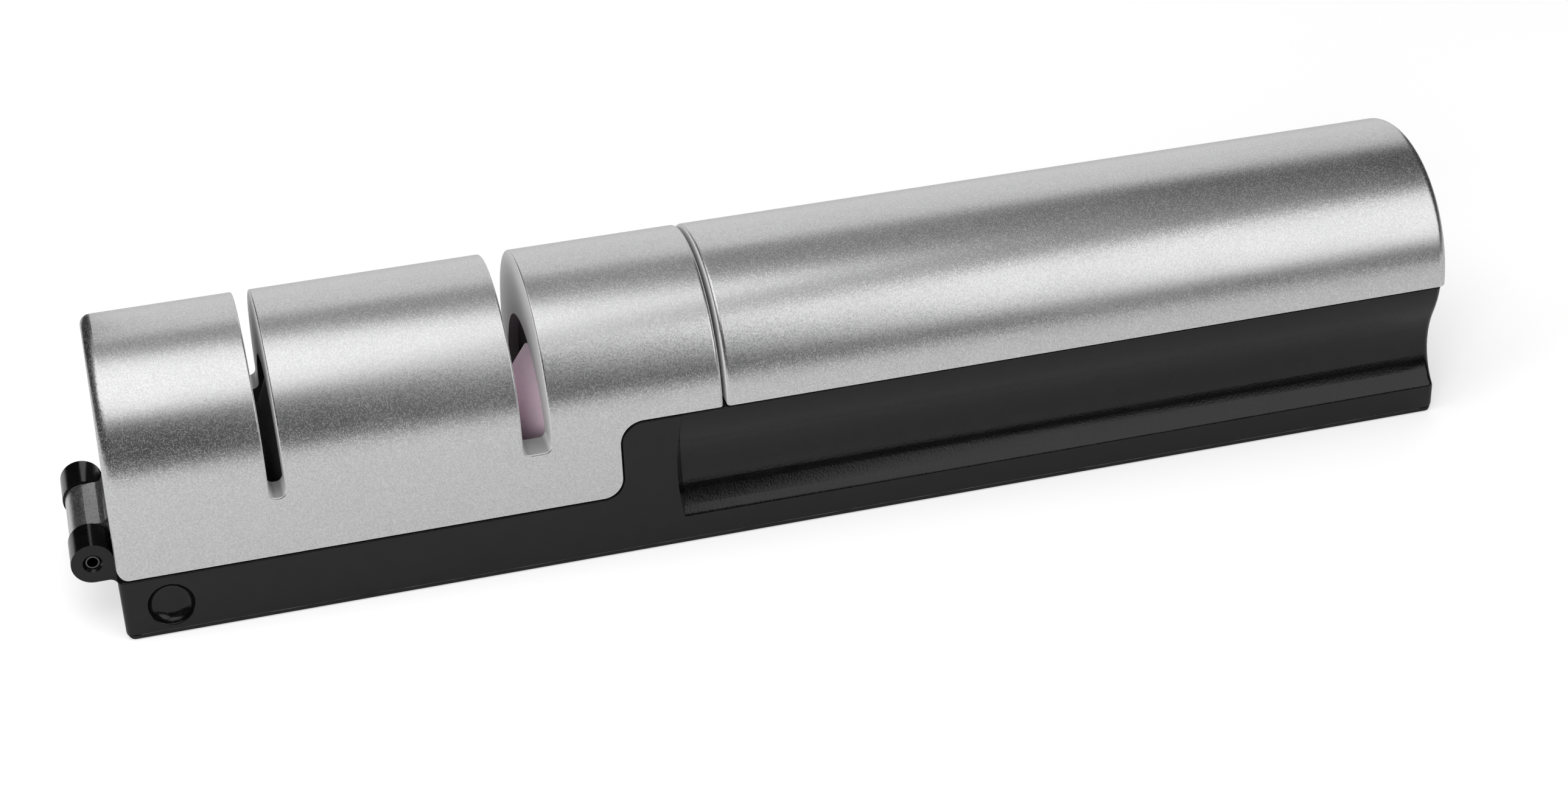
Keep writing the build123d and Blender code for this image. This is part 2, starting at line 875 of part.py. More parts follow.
def cradle(stage):
    """Frame of two side plates and two screw ears that carries one axle."""
    half = cradle_half_width
    sides = Polyline(
        (-cradle_head_radius, axle_height),
        (-half, cradle_shoulder_height),
        (-half, floor_top),
        (half, floor_top),
        (half, cradle_shoulder_height),
        (cradle_head_radius, axle_height),
    )
    crown = ThreePointArc(
        (cradle_head_radius, axle_height),
        (0, axle_height + cradle_head_radius),
        (-cradle_head_radius, axle_height),
    )
    face = make_face((sides + crown).edges())
    plate = extrude(Plane.YZ.offset(stage.plate_start) * face, amount=cradle_plate)
    shoulders = plate.edges().filter_by(Axis.X).filter_by_position(
        Axis.Z, cradle_shoulder_height - seam_gap, cradle_shoulder_height + seam_gap
    )
    plate = fillet(shoulders, cradle_corner_round)
    plate -= rod_along_x(axle_radius + bush_wall + press_gap, 0, stage.plate_end + overrun)
    left, right = both_ends(stage, plate)
    frame = left + right
    reach = stage.plate_start
    for side in (-1, 1):
        ear = box_between(
            (stage.along - reach, half - ear_width, ear_height),
            (stage.along + reach, half, ear_height + ear_thickness),
        )
        frame += ear if side > 0 else mirror(ear, about=Plane.XZ)
    for along, side in cradle_screw_places(stage):
        frame -= upright(screw_radius + screw_clearance, 0, axle_height, along, side)
    return frame


def cradle_screws():
    """Screws that hold both cradles down."""
    model = screw(cradle_screw_length, screw_head_height, points_down=True)
    places = [place for stage in stages for place in cradle_screw_places(stage)]
    return screws(model, places, cradle_screw_seat)


def handle_cover_screws():
    """Screws that hold the handle cover, put in from inside the base."""
    model = screw(cover_screw_length, screw_head_height)
    return screws(model, cover_screw_places(), deck_under)


def bottom_plate_screws():
    """Screws that hold the bottom plate, their heads sunk in it."""
    model = screw(plate_screw_length, plate_screw_head_height)
    return screws(model, plate_screw_places(), plate_screw_seat)


def latch_spring():
    """Spring leaf on the deck, bent down into the well beside the latch tongue."""
    end = leaf_face + leaf_foot_length
    leaf = slab(outline([
        (leaf_face, leaf_low_height, 0),
        (leaf_face, leaf_top, leaf_bend_radius + leaf_thickness),
        (end, leaf_top, 0),
        (end, deck_top, 0),
        (leaf_back, deck_top, leaf_bend_radius),
        (leaf_back, leaf_low_height, 0),
    ]), leaf_width)
    hole = leaf_nose_radius - leaf_thickness
    leaf -= rod_along_y(hole, leaf_width, leaf_back, bead_height)
    nose = rod_along_y(leaf_nose_radius, leaf_width, leaf_back, bead_height)
    nose -= rod_along_y(hole, leaf_width, leaf_back, bead_height)
    leaf += nose & box_between((0, -leaf_width, 0), (leaf_back, leaf_width, deck_top))
    shank = screw_radius + screw_clearance
    return leaf - upright(shank, deck_top, leaf_top, latch_screw_place())


def latch_screw():
    """Screw that holds the latch leaf to the deck."""
    model = screw(latch_screw_length, screw_head_height, points_down=True)
    return screws(model, [(latch_screw_place(), 0)], leaf_top)


def solids_of(piece):
    """All the separate solids in a piece or a list of pieces."""
    pieces = piece if isinstance(piece, list) else [piece]
    return [solid for one in pieces for solid in one.solids()]


def write(name, piece):
    """Writes one node, shifted to the part's own origin."""
    solids = [Pos(-middle_along, 0, 0) * solid for solid in solids_of(piece)]
    shape = solids[0] if len(solids) == 1 else Compound(children=solids)
    export_step(shape, f"parts/{name}.step")


def build():
    """Makes every piece and writes it."""
    os.makedirs("parts", exist_ok=True)
    write("base_body", base_body())
    write("bottom_plate", bottom_plate())
    write("foot_pads", foot_pads())
    write("front_cover", front_cover())
    write("handle_cover", handle_cover())
    write("hinge_pin", hinge_pin())
    write("latch_spring", latch_spring())
    write("latch_screw", latch_screw())
    write("cradle_screws", cradle_screws())
    write("handle_cover_screws", handle_cover_screws())
    write("bottom_plate_screws", bottom_plate_screws())
    for stage in stages:
        write(f"{stage.name}_cradle", cradle(stage))
        write(f"{stage.name}_axle", axle(stage))
        for side, piece in zip(("left", "right"), both_ends(stage, wheel(stage))):
            write(f"{stage.name}_wheel_{side}", piece)
        for side, piece in zip(("left", "right"), both_ends(stage, bush(stage))):
            write(f"{stage.name}_bush_{side}", piece)
        write(f"{stage.name}_washers", both_ends(stage, washer(stage)))
        write(f"{stage.name}_clips", both_ends(stage, clip(stage)))


build()
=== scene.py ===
"""Looks, light and camera of a two-stage knife sharpener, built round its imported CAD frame.

Lengths are in metres, angles in radians, and a pattern's scale is in features for each metre.
The body lies along X with its hinge at the left end, its front faces -Y, and it stands on Z 0.
"""

from __future__ import annotations

import json
import logging
import math
from dataclasses import dataclass, field
from enum import Enum

import bmesh
import bpy
from mathutils import Matrix, Vector

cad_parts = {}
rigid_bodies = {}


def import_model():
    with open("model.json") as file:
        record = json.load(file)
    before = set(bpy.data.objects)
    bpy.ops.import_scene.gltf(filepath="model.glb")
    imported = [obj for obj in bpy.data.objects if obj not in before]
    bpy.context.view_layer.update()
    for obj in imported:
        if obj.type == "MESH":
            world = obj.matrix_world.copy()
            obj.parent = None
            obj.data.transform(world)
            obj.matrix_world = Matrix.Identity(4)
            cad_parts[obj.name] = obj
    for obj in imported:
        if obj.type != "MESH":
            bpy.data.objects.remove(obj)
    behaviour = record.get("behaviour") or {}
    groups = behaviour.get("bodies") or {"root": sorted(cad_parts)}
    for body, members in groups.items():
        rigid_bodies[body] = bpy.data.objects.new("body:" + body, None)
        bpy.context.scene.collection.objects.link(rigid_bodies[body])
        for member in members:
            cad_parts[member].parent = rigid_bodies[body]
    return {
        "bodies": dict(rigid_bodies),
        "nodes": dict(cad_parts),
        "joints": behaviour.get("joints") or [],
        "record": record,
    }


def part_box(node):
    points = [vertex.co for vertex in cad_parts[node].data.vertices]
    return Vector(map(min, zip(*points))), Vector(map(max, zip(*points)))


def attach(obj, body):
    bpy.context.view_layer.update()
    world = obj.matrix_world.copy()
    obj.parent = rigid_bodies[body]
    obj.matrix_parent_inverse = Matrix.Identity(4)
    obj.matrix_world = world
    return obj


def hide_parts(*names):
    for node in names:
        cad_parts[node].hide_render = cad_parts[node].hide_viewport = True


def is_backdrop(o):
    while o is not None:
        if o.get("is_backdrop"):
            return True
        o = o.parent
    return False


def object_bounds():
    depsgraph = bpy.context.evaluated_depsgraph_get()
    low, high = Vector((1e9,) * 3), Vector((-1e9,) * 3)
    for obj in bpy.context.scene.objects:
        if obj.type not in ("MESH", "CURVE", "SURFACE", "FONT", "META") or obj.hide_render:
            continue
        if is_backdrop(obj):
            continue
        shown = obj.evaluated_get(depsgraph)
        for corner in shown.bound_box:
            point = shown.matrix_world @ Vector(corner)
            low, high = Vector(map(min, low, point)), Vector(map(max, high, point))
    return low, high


LOG = logging.getLogger("sharpener")
MM = 0.001

MERGE_DISTANCE = 1e-6
FLAT_ANGLE = math.radians(0.3)
WHITE = (1.0, 1.0, 1.0, 1.0)

# A Mix node has inputs for every kind of value, so these are picked by index.
MIX_VALUES = (2, 3)
MIX_COLOURS = (6, 7)
MIX_COLOUR_RESULT = 2

Colour = tuple[float, float, float]
Point = tuple[float, float, float]
Span = tuple[float, float]
Node = bpy.types.Node
NodeTree = bpy.types.NodeTree
Socket = bpy.types.NodeSocket


class Channel(Enum):
    """Kinds of value that a shader group takes in or puts out."""

    VALUE = "NodeSocketFloat"
    VECTOR = "NodeSocketVector"


class Side(Enum):
    """The body's long sides, each by the sign of its Y."""

    FRONT = -1
    BACK = 1


@dataclass
class NodeSheet:
    """A node tree with short ways to add nodes, link them and set their sockets.

    Attributes:
        tree: the node tree of a material, a world or a group.
    """

    tree: NodeTree

    def add(self, kind: str, **settings: object) -> Node:
        """Adds a node.

        Args:
            kind: the node's type name.
            **settings: properties to set on it.

        Returns:
            The new node.
        """
        node = self.tree.nodes.new(kind)
        for name, value in settings.items():
            setattr(node, name, value)
        return node

    def feed(self, source: object, node: Node, socket: str | int) -> None:
        """Links a socket to a node's input, or sets the input to a plain value.

        Args:
            source: an output socket, or a number, vector or colour.
            node: the node that takes it.
            socket: the input's name or index.
        """
        target = node.inputs[socket]
        if isinstance(source, Socket):
            self.tree.links.new(source, target)
        else:
            target.default_value = source

    def math(self, operation: str, first: object, second: object = 0.0) -> Socket:
        """Adds a math node.

        Args:
            operation: the operation's name.
            first: its first value or socket.
            second: its second value or socket.

        Returns:
            The result's socket.
        """
        node = self.add("ShaderNodeMath", operation=operation)
        self.feed(first, node, 0)
        self.feed(second, node, 1)
        return node.outputs[0]

    def vector(
        self, operation: str, first: object, second: object = (0.0, 0.0, 0.0)
    ) -> Node:
        """Adds a vector math node.

        Args:
            operation: the operation's name.
            first: its first vector or socket.
            second: its second vector or socket.

        Returns:
            The node, whose result is its first output, or Value for a plain number.
        """
        node = self.add("ShaderNodeVectorMath", operation=operation)
        self.feed(first, node, 0)
        self.feed(second, node, 1)
        return node

    def split(self, kind: str, source: object) -> Node:
        """Takes a vector or a colour apart.

        Args:
            kind: the type name of the node that does it.
            source: the vector's or the colour's socket.

        Returns:
            The node, with an output for each part.
        """
        node = self.add(kind)
        self.feed(source, node, 0)
        return node

    def blend(self, factor: object, first: object, second: object) -> Socket:
        """Mixes two colours.

        Args:
            factor: 0 for the first, 1 for the second.
            first: the first colour, or its socket.
            second: the second colour, or its socket.

        Returns:
            The mixed colour's socket.
        """
        node = self.add("ShaderNodeMix", data_type="RGBA", clamp_factor=True)
        self.feed(factor, node, 0)
        for colour, socket in zip((first, second), MIX_COLOURS):
            linked = isinstance(colour, Socket)
            self.feed(colour if linked else (*colour, 1.0), node, socket)
        return node.outputs[MIX_COLOUR_RESULT]

    def noise(
        self, where: object, scale: object, detail: float = 2.0, roughness: float = 0.5
    ) -> Node:
        """Adds a noise texture.

        Args:
            where: the vector that it follows.
            scale: features for each metre.
            detail: its octaves.
            roughness: how strong the finer octaves are.

        Returns:
            The node, whose Fac goes from 0 to 1.
        """
        node = self.add("ShaderNodeTexNoise", noise_dimensions="3D")
        self.feed(where, node, "Vector")
        self.feed(scale, node, "Scale")
        self.feed(detail, node, "Detail")
        self.feed(roughness, node, "Roughness")
        return node

    def squash(self, where: object, scale: Point, turn: Point = (0.0, 0.0, 0.0)) -> Socket:
        """Squashes and turns the coordinates that a pattern follows.

        Args:
            where: the coordinates' socket.
            scale: how far each axis is squashed.
            turn: how far they are turned round each axis.

        Returns:
            The new coordinates' socket.
        """
        node = self.add("ShaderNodeMapping")
        self.feed(where, node, "Vector")
        self.feed(scale, node, "Scale")
        self.feed(turn, node, "Rotation")
        return node.outputs[0]

    def spread(self, value: object, span: Span, onto: Span = (0.0, 1.0)) -> Socket:
        """Maps a value's range onto another, and keeps it there.

        Args:
            value: the value's socket.
            span: the start and the end of its range.
            onto: what the start and the end become.

        Returns:
            The mapped value's socket.
        """
        node = self.add("ShaderNodeMapRange", clamp=True)
        self.feed(value, node, "Value")
        for label, limit in zip(("From Min", "From Max", "To Min", "To Max"), (*span, *onto)):
            self.feed(limit, node, label)
        return node.outputs["Result"]

    def tilt(self, normal: object, colour: object, amount: object) -> Socket:
        """Leans a normal by a random colour.

        Args:
            normal: the normal's socket.
            colour: a colour whose channels are about 0.5 on average.
            amount: how far it leans.

        Returns:
            The leaning vector's socket.
        """
        centred = self.vector("SUBTRACT", colour, (0.5, 0.5, 0.5))
        scaled = self.vector("SCALE", centred.outputs[0])
        self.feed(amount, scaled, "Scale")
        return self.vector("ADD", normal, scaled.outputs[0]).outputs[0]

    def bump(self, height: object, strength: float, distance: float) -> Socket:
        """Adds a bump.

        Args:
            height: the height's socket.
            strength: from 0 to 1.
            distance: the height's depth in metres.

        Returns:
            The bumped normal's socket.
        """
        node = self.add("ShaderNodeBump")
        self.feed(strength, node, "Strength")
        self.feed(distance, node, "Distance")
        self.feed(height, node, "Height")
        return node.outputs["Normal"]


@dataclass
class SharedEffects:
    """Shader node groups that several finishes use, each built once.

    Attributes:
        broad_share: the broad grain's scale, as a share of the fine grain's.
        fine_weight: how much of the grain's height is fine grain.
        grain_span: the heights at which the grain is darkest and lightest.
        skin_span: how squarely a cover's face points outwards, from its inside to its skin.
        wall_span: how squarely a face points along the body, from its skin to a slot wall.
        patch_span: the noise values at which a patch starts and is full.
        scratch_span: the noise values at which a scratch starts and is full.
        scratch_squash: how the scratches' noise is squashed into lines.
        scratch_turn: how the lines lean.
        ring_squash: how the rings' noise is squashed round the body's length.
    """

    broad_share: float = 0.13
    fine_weight: float = 0.75
    grain_span: Span = (0.3, 0.7)
    skin_span: Span = (0.45, 0.8)
    wall_span: Span = (0.4, 0.9)
    patch_span: Span = (0.35, 0.65)
    scratch_span: Span = (0.68, 0.76)
    scratch_squash: Point = (0.06, 1.0, 1.0)
    scratch_turn: Point = (0.0, math.radians(4.0), math.radians(9.0))
    ring_squash: Point = (1.0, 0.03, 0.03)

    def __post_init__(self) -> None:
        """Builds every group."""
        self.grain = self._grain()
        self.flake = self._flake()
        self.inside = self._inside()
        self.handling = self._handling()
        self.turning = self._turning()

    @staticmethod
    def _start(
        name: str, takes: tuple[str, ...], gives: dict[str, Channel]
    ) -> tuple[NodeSheet, Node, Node]:
        """Opens a new group.

        Args:
            name: the group's name.
            takes: its inputs, each a plain number.
            gives: its outputs and their kinds.

        Returns:
            Its node sheet, its input node and its output node.
        """
        tree = bpy.data.node_groups.new(name, "ShaderNodeTree")
        for label in takes:
            tree.interface.new_socket(label, in_out="INPUT", socket_type=Channel.VALUE.value)
        for label, channel in gives.items():
            tree.interface.new_socket(label, in_out="OUTPUT", socket_type=channel.value)
        sheet = NodeSheet(tree)
        return sheet, sheet.add("NodeGroupInput"), sheet.add("NodeGroupOutput")

    def _grain(self) -> NodeTree:
        """Fine moulded or stone grain.

        Returns:
            The group: Scale gives Height and Shade.
        """
        sheet, takes, gives = self._start(
            "fine_grain", ("Scale",), {"Height": Channel.VALUE, "Shade": Channel.VALUE}
        )
        where = sheet.add("ShaderNodeTexCoord").outputs["Object"]
        scale = takes.outputs["Scale"]
        fine = sheet.noise(where, scale, detail=3.0, roughness=0.6)
        broad = sheet.noise(where, sheet.math("MULTIPLY", scale, self.broad_share))
        mixed = sheet.math(
            "ADD",
            sheet.math("MULTIPLY", fine.outputs["Fac"], self.fine_weight),
            sheet.math("MULTIPLY", broad.outputs["Fac"], 1 - self.fine_weight),
        )
        sheet.feed(mixed, gives, "Height")
        sheet.feed(sheet.spread(mixed, self.grain_span), gives, "Shade")
        return sheet.tree

    def _flake(self) -> NodeTree:
        """Sprayed metal paint: a soft orange peel, and flakes that each tilt their own way.

        Returns:
            The group: its scales, tilts and share of glints give Normal, Sparkle and Glint.
        """
        sheet, takes, gives = self._start(
            "metal_flake",
            ("Peel Scale", "Peel Tilt", "Flake Scale", "Flake Tilt", "Glints"),
            {"Normal": Channel.VECTOR, "Sparkle": Channel.VALUE, "Glint": Channel.VALUE},
        )
        where = sheet.add("ShaderNodeTexCoord").outputs["Object"]
        peel = sheet.noise(where, takes.outputs["Peel Scale"], detail=1.0)
        cells = sheet.add("ShaderNodeTexVoronoi", voronoi_dimensions="3D", feature="F1")
        sheet.feed(where, cells, "Vector")
        sheet.feed(takes.outputs["Flake Scale"], cells, "Scale")
        chance = cells.outputs["Color"]
        normal = sheet.add("ShaderNodeNewGeometry").outputs["Normal"]
        normal = sheet.tilt(normal, peel.outputs["Color"], takes.outputs["Peel Tilt"])
        normal = sheet.tilt(normal, chance, takes.outputs["Flake Tilt"])
        sheet.feed(sheet.vector("NORMALIZE", normal).outputs[0], gives, "Normal")
        parts = sheet.split("ShaderNodeSeparateColor", chance).outputs
        sheet.feed(parts["Red"], gives, "Sparkle")
        glint = sheet.math("LESS_THAN", parts["Blue"], takes.outputs["Glints"])
        sheet.feed(glint, gives, "Glint")
        return sheet.tree

    def _inside(self) -> NodeTree:
        """Where a half-round cover's face isn't its outer skin: slot walls, rims and inside.

        Returns:
            The group: the height of the skin's axis and the body's two ends give Mask, which
            is 1 off the skin, and Wall, which is 1 on a slot wall.
        """
        sheet, takes, gives = self._start(
            "inside_of_cover",
            ("Axis Height", "Left End", "Right End"),
            {"Mask": Channel.VALUE, "Wall": Channel.VALUE},
        )
        coords = sheet.add("ShaderNodeTexCoord")
        normal = coords.outputs["Normal"]
        place = sheet.split("ShaderNodeSeparateXYZ", coords.outputs["Object"]).outputs
        height = sheet.math("SUBTRACT", place["Z"], takes.outputs["Axis Height"])
        spoke = sheet.add("ShaderNodeCombineXYZ")
        sheet.feed(place["Y"], spoke, "Y")
        sheet.feed(sheet.math("MAXIMUM", height, 0.0), spoke, "Z")
        outwards = sheet.vector("NORMALIZE", spoke.outputs[0]).outputs[0]
        facing = sheet.vector("DOT_PRODUCT", normal, outwards).outputs["Value"]
        turned = sheet.spread(facing, self.skin_span, (1.0, 0.0))
        within = sheet.math(
            "MULTIPLY",
            sheet.math("GREATER_THAN", place["X"], takes.outputs["Left End"]),
            sheet.math("LESS_THAN", place["X"], takes.outputs["Right End"]),
        )
        sheet.feed(sheet.math("MULTIPLY", turned, within), gives, "Mask")
        along = sheet.split("ShaderNodeSeparateXYZ", normal).outputs["X"]
        wall = sheet.spread(sheet.math("ABSOLUTE", along), self.wall_span)
        sheet.feed(wall, gives, "Wall")
        return sheet.tree

    def _handling(self) -> NodeTree:
        """Marks of handling: soft patches, and fine scratches along the body.

        Returns:
            The group: Patch Scale and Scratch Scale give Patches and Scratches.
        """
        sheet, takes, gives = self._start(
            "handling_marks",
            ("Patch Scale", "Scratch Scale"),
            {"Patches": Channel.VALUE, "Scratches": Channel.VALUE},
        )
        where = sheet.add("ShaderNodeTexCoord").outputs["Object"]
        soft = sheet.noise(where, takes.outputs["Patch Scale"], detail=3.0, roughness=0.55)
        sheet.feed(sheet.spread(soft.outputs["Fac"], self.patch_span), gives, "Patches")
        along = sheet.squash(where, self.scratch_squash, self.scratch_turn)
        lines = sheet.noise(along, takes.outputs["Scratch Scale"], detail=1.0)
        sheet.feed(sheet.spread(lines.outputs["Fac"], self.scratch_span), gives, "Scratches")
        return sheet.tree

    def _turning(self) -> NodeTree:
        """Fine rings round the body's length, as a lathe leaves them.

        Returns:
            The group: Scale gives Height.
        """
        sheet, takes, gives = self._start(
            "turning_rings", ("Scale",), {"Height": Channel.VALUE}
        )
        where = sheet.add("ShaderNodeTexCoord").outputs["Object"]
        rings = sheet.noise(sheet.squash(where, self.ring_squash), takes.outputs["Scale"])
        sheet.feed(rings.outputs["Fac"], gives, "Height")
        return sheet.tree

    @staticmethod
    def place(sheet: NodeSheet, group: NodeTree, **values: float) -> Node:
        """Places a group in a material.

        Args:
            sheet: the material's node sheet.
            group: the group.
            **values: its inputs, with underscores for spaces.

        Returns:
            The group's node.
        """
        node = sheet.add("ShaderNodeGroup", node_tree=group)
        for label, value in values.items():
            sheet.feed(value, node, label.replace("_", " "))
        return node


@dataclass(frozen=True)
class Finish:
    """What every finish has.

    Attributes:
        name: the material's name.
        colour: its base colour.
        roughness: how dull it is, from 0 to 1.
        metallic: from 0 for plastic to 1 for bare metal.
        specular: how strongly its surface mirrors.
    """

    name: str
    colour: Colour
    roughness: float
    metallic: float = 0.0
    specular: float = 0.5

    def material(self, effects: SharedEffects) -> bpy.types.Material:
        """Makes the finish's material.

        Args:
            effects: the shared shader groups.

        Returns:
            The material.
        """
        made = bpy.data.materials.new(self.name)
        made.use_nodes = True
        made.diffuse_color = (*self.colour, 1.0)
        sheet = NodeSheet(made.node_tree)
        shader = made.node_tree.nodes["Principled BSDF"]
        sheet.feed((*self.colour, 1.0), shader, "Base Color")
        sheet.feed(self.roughness, shader, "Roughness")
        sheet.feed(self.metallic, shader, "Metallic")
        sheet.feed(self.specular, shader, "Specular IOR Level")
        self.detail(sheet, shader, effects)
        return made

    def detail(self, sheet: NodeSheet, shader: Node, effects: SharedEffects) -> None:
        """Adds the finish's own detail to its shader.

        Args:
            sheet: the material's node sheet.
            shader: its Principled shader.
            effects: the shared shader groups.
        """

    def shaded(self, share: float) -> Colour:
        """The finish's colour, lighter or darker by a share."""
        return tuple(channel * share for channel in self.colour)

    def gloss_span(self, width: float) -> Span:
        """The finish's roughness, less a width and plus it."""
        return self.roughness - width, self.roughness + width


@dataclass(frozen=True)
class FlakePaint(Finish):
    """Satin metallic paint whose flakes show as a fine sparkle.

    Attributes:
        peel_scale: how fine its orange peel is.
        peel_tilt: how far the peel leans.
        flake_scale: how fine its flakes are.
        flake_tilt: how far they lean.
        glints: the share of flakes that scatter light instead of mirroring it.
        glint_depth: how much less metallic these are.
        glint_share: how much lighter these are.
        sparkle: how far the flakes' colours vary.
        patch_scale: how large its handling patches are.
        unevenness: how far these change its roughness.
        axis_height: how high the half-round skin's axis lies.
        ends: where the two covers' skin starts and ends along the body.
        wall_colour: the slot walls' colour.
        inside_and_end_shade_colour: the colour of the inside and the slot ends, a darker grey
            than the walls that is partly the bare inside and partly painted shade.
        inside_roughness: how dull both are.
        inside_metallic: how metallic the inside is.
        wall_metallic: how metallic the slot walls are.
    """

    peel_scale: float = 5000.0
    peel_tilt: float = 0.06
    flake_scale: float = 8000.0
    flake_tilt: float = 0.04
    glints: float = 0.25
    glint_depth: float = 0.11
    glint_share: float = 0.14
    sparkle: float = 0.10
    patch_scale: float = 35.0
    unevenness: float = 0.02
    axis_height: float = 23.2 * MM
    ends: Span = (-102.5 * MM, 109.0 * MM)
    wall_colour: Colour = (0.61, 0.61, 0.61)
    inside_and_end_shade_colour: Colour = (0.37, 0.37, 0.37)
    inside_roughness: float = 0.5
    inside_metallic: float = 0.4
    wall_metallic: float = 0.1

    def detail(self, sheet: NodeSheet, shader: Node, effects: SharedEffects) -> None:
        """Tilts and tints each flake, varies the gloss, leaves the inside plainer, and paints
        shade on the slot ends and the inside.

        Args:
            sheet: the material's node sheet.
            shader: its Principled shader.
            effects: the shared shader groups.
        """
        flakes = effects.place(
            sheet,
            effects.flake,
            Peel_Scale=self.peel_scale,
            Peel_Tilt=self.peel_tilt,
            Flake_Scale=self.flake_scale,
            Flake_Tilt=self.flake_tilt,
            Glints=self.glints,
        )
        left, right = self.ends
        inner = effects.place(
            sheet, effects.inside, Axis_Height=self.axis_height, Left_End=left, Right_End=right
        )
        glint = flakes.outputs["Glint"]
        hidden, wall = inner.outputs["Mask"], inner.outputs["Wall"]

        dark, light = self.shaded(1 - self.sparkle), self.shaded(1 + self.sparkle)
        colour = sheet.blend(flakes.outputs["Sparkle"], dark, light)
        colour = sheet.blend(glint, colour, self.shaded(1 + self.glint_share))
        # Painted shade: faces that point across the body, the slot ends and the inside, get a
        # darker grey than the slot walls.
        plain = sheet.blend(wall, self.inside_and_end_shade_colour, self.wall_colour)
        sheet.feed(sheet.blend(hidden, colour, plain), shader, "Base Color")

        marks = effects.place(sheet, effects.handling, Patch_Scale=self.patch_scale)
        gloss = self.gloss_span(self.unevenness)
        outer = sheet.spread(marks.outputs["Patches"], (0.0, 1.0), gloss)
        within = sheet.math("MULTIPLY", hidden, self.inside_roughness)
        sheet.feed(sheet.math("MAXIMUM", outer, within), shader, "Roughness")

        bare = sheet.spread(wall, (0.0, 1.0), (self.inside_metallic, self.wall_metallic))
        scattered = sheet.math("MULTIPLY", glint, self.glint_depth)
        shown = sheet.math("SUBTRACT", self.metallic, scattered)
        outside = sheet.math("MULTIPLY", shown, sheet.math("SUBTRACT", 1.0, hidden))
        inside = sheet.math("MULTIPLY", bare, hidden)
        sheet.feed(sheet.math("ADD", outside, inside), shader, "Metallic")
        sheet.feed(flakes.outputs["Normal"], shader, "Normal")


@dataclass(frozen=True)
class MouldedPlastic(Finish):
    """Moulded plastic or rubber with a fine spark-eroded texture.

    Attributes:
        grain_scale: how fine the texture is.
        grain_depth: how deep it is.
        grain_strength: how strongly its depth shows.
        dark_share: the colour's share in its hollows.
        light_share: the colour's share on its tops.
        patch_scale: how large its handling patches are.
        scratch_scale: how fine its scratches are.
        worn_most: the sum of patches and scratches that counts as fully worn.
        unevenness: how far wear changes its roughness.
    """

    grain_scale: float = 3500.0
    grain_depth: float = 0.00001
    grain_strength: float = 0.25
    dark_share: float = 0.8
    light_share: float = 1.25
    patch_scale: float = 45.0
    scratch_scale: float = 800.0
    worn_most: float = 1.6
    unevenness: float = 0.06

    def detail(self, sheet: NodeSheet, shader: Node, effects: SharedEffects) -> None:
        """Adds the grain to colour and height, and handling marks to the gloss.

        Args:
            sheet: the material's node sheet.
            shader: its Principled shader.
            effects: the shared shader groups.
        """
        grain = effects.place(sheet, effects.grain, Scale=self.grain_scale)
        dark, light = self.shaded(self.dark_share), self.shaded(self.light_share)
        sheet.feed(sheet.blend(grain.outputs["Shade"], dark, light), shader, "Base Color")
        marks = effects.place(
            sheet,
            effects.handling,
            Patch_Scale=self.patch_scale,
            Scratch_Scale=self.scratch_scale,
        )
        worn = sheet.math("ADD", marks.outputs["Patches"], marks.outputs["Scratches"])
        gloss = sheet.spread(worn, (0.0, self.worn_most), self.gloss_span(self.unevenness))
        sheet.feed(gloss, shader, "Roughness")
        bumped = sheet.bump(grain.outputs["Height"], self.grain_strength, self.grain_depth)
        sheet.feed(bumped, shader, "Normal")


@dataclass(frozen=True)
class TurnedMetal(Finish):
    """Bare metal with fine turning rings and light scratches.

    Attributes:
        ring_scale: how fine the rings are.
        ring_depth: how deep they are.
        ring_strength: how strongly their depth shows.
        patch_scale: how large its handling patches are.
        scratch_scale: how fine its scratches are.
        dark_share: the colour's share where no patch is.
        light_share: the colour's share on a patch.
        scratch_dullness: how much rougher a scratch is.
    """

    metallic: float = 1.0
    ring_scale: float = 6000.0
    ring_depth: float = 0.000008
    ring_strength: float = 0.3
    patch_scale: float = 180.0
    scratch_scale: float = 2500.0
    dark_share: float = 0.82
    light_share: float = 1.12
    scratch_dullness: float = 0.15

    def detail(self, sheet: NodeSheet, shader: Node, effects: SharedEffects) -> None:
        """Adds rings to the height, patches to the colour and scratches to the gloss.

        Args:
            sheet: the material's node sheet.
            shader: its Principled shader.
            effects: the shared shader groups.
        """
        rings = effects.place(sheet, effects.turning, Scale=self.ring_scale)
        marks = effects.place(
            sheet,
            effects.handling,
            Patch_Scale=self.patch_scale,
            Scratch_Scale=self.scratch_scale,
        )
        dark, light = self.shaded(self.dark_share), self.shaded(self.light_share)
        sheet.feed(sheet.blend(marks.outputs["Patches"], dark, light), shader, "Base Color")
        dull = (self.roughness, self.roughness + self.scratch_dullness)
        gloss = sheet.spread(marks.outputs["Scratches"], (0.0, 1.0), dull)
        sheet.feed(gloss, shader, "Roughness")
        bumped = sheet.bump(rings.outputs["Height"], self.ring_strength, self.ring_depth)
        sheet.feed(bumped, shader, "Normal")


